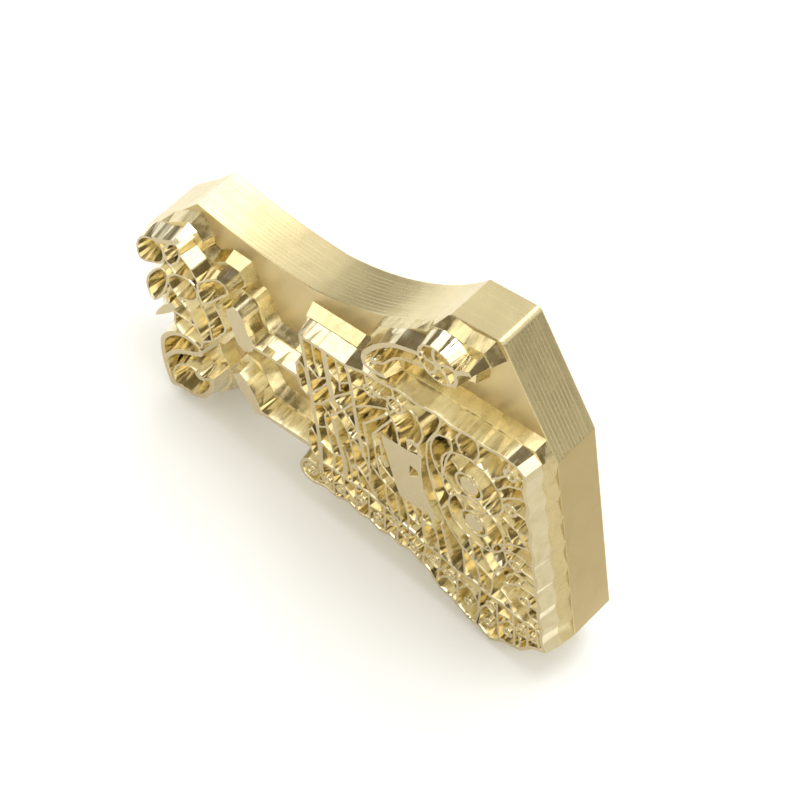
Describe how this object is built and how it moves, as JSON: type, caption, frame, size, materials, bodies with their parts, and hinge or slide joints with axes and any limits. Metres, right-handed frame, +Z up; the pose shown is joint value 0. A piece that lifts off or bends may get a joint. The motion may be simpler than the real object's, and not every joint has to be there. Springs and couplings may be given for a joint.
{
  "type": "leather stamping die",
  "caption": "Milled brass stamping die for leather: a shouldered block with a hollow top, ornament in high relief on the printing side and a tapped hole in the back.",
  "frame": {"origin": "bottom centre of the bounding box, on the surface the die stands on", "axes": "+Z up with the die standing on its two feet, -Y out of the printing face, +Y out of the flat back, +X toward the right end as seen from the printing side"},
  "size_m": [0.0976, 0.015, 0.0775],
  "materials": {
    "brass_block": "milled, satin, with cutter lines",
    "brass_plateau": "milled, satin",
    "brass_relief": "milled, glossy walls and a matte printing face"
  },
  "bodies": {
    "root": {"bar_plateaus": "brass_plateau", "base_block": "brass_block", "bead_rings": "brass_relief", "bead_ties": "brass_relief", "body_plateau": "brass_plateau", "border_beads": "brass_relief", "border_line": "brass_relief", "border_scallops": "brass_relief", "border_ties": "brass_relief", "column_ribs": "brass_relief", "curl_plateau": "brass_plateau", "fan_lines": "brass_relief", "frame_right": "brass_relief", "frame_top": "brass_relief", "lattice": "brass_relief", "leaf_arcs": "brass_relief", "leaf_plateau": "brass_plateau", "link_loop": "brass_relief", "long_rib": "brass_relief", "lower_bar": "brass_relief", "lower_crescent": "brass_relief", "lower_edge": "brass_relief", "lower_ring": "brass_relief", "lower_ring_boss": "brass_relief", "narrow_leaf": "brass_relief", "notched_plate": "brass_relief", "pocket_veins": "brass_relief", "rosette": "brass_relief", "rosette_tail": "brass_relief", "round_loop": "brass_relief", "scroll_band": "brass_relief", "scroll_hook": "brass_relief", "scroll_plateau": "brass_plateau", "second_leaf": "brass_relief", "side_leaf": "brass_relief", "slot_loops": "brass_relief", "stem_lines": "brass_relief", "tongue": "brass_relief", "top_curl": "brass_relief", "upper_bar": "brass_relief", "upper_crescent": "brass_relief", "upper_leaf": "brass_relief", "upper_ring": "brass_relief", "upper_ring_boss": "brass_relief"}
  },
  "joints": []
}
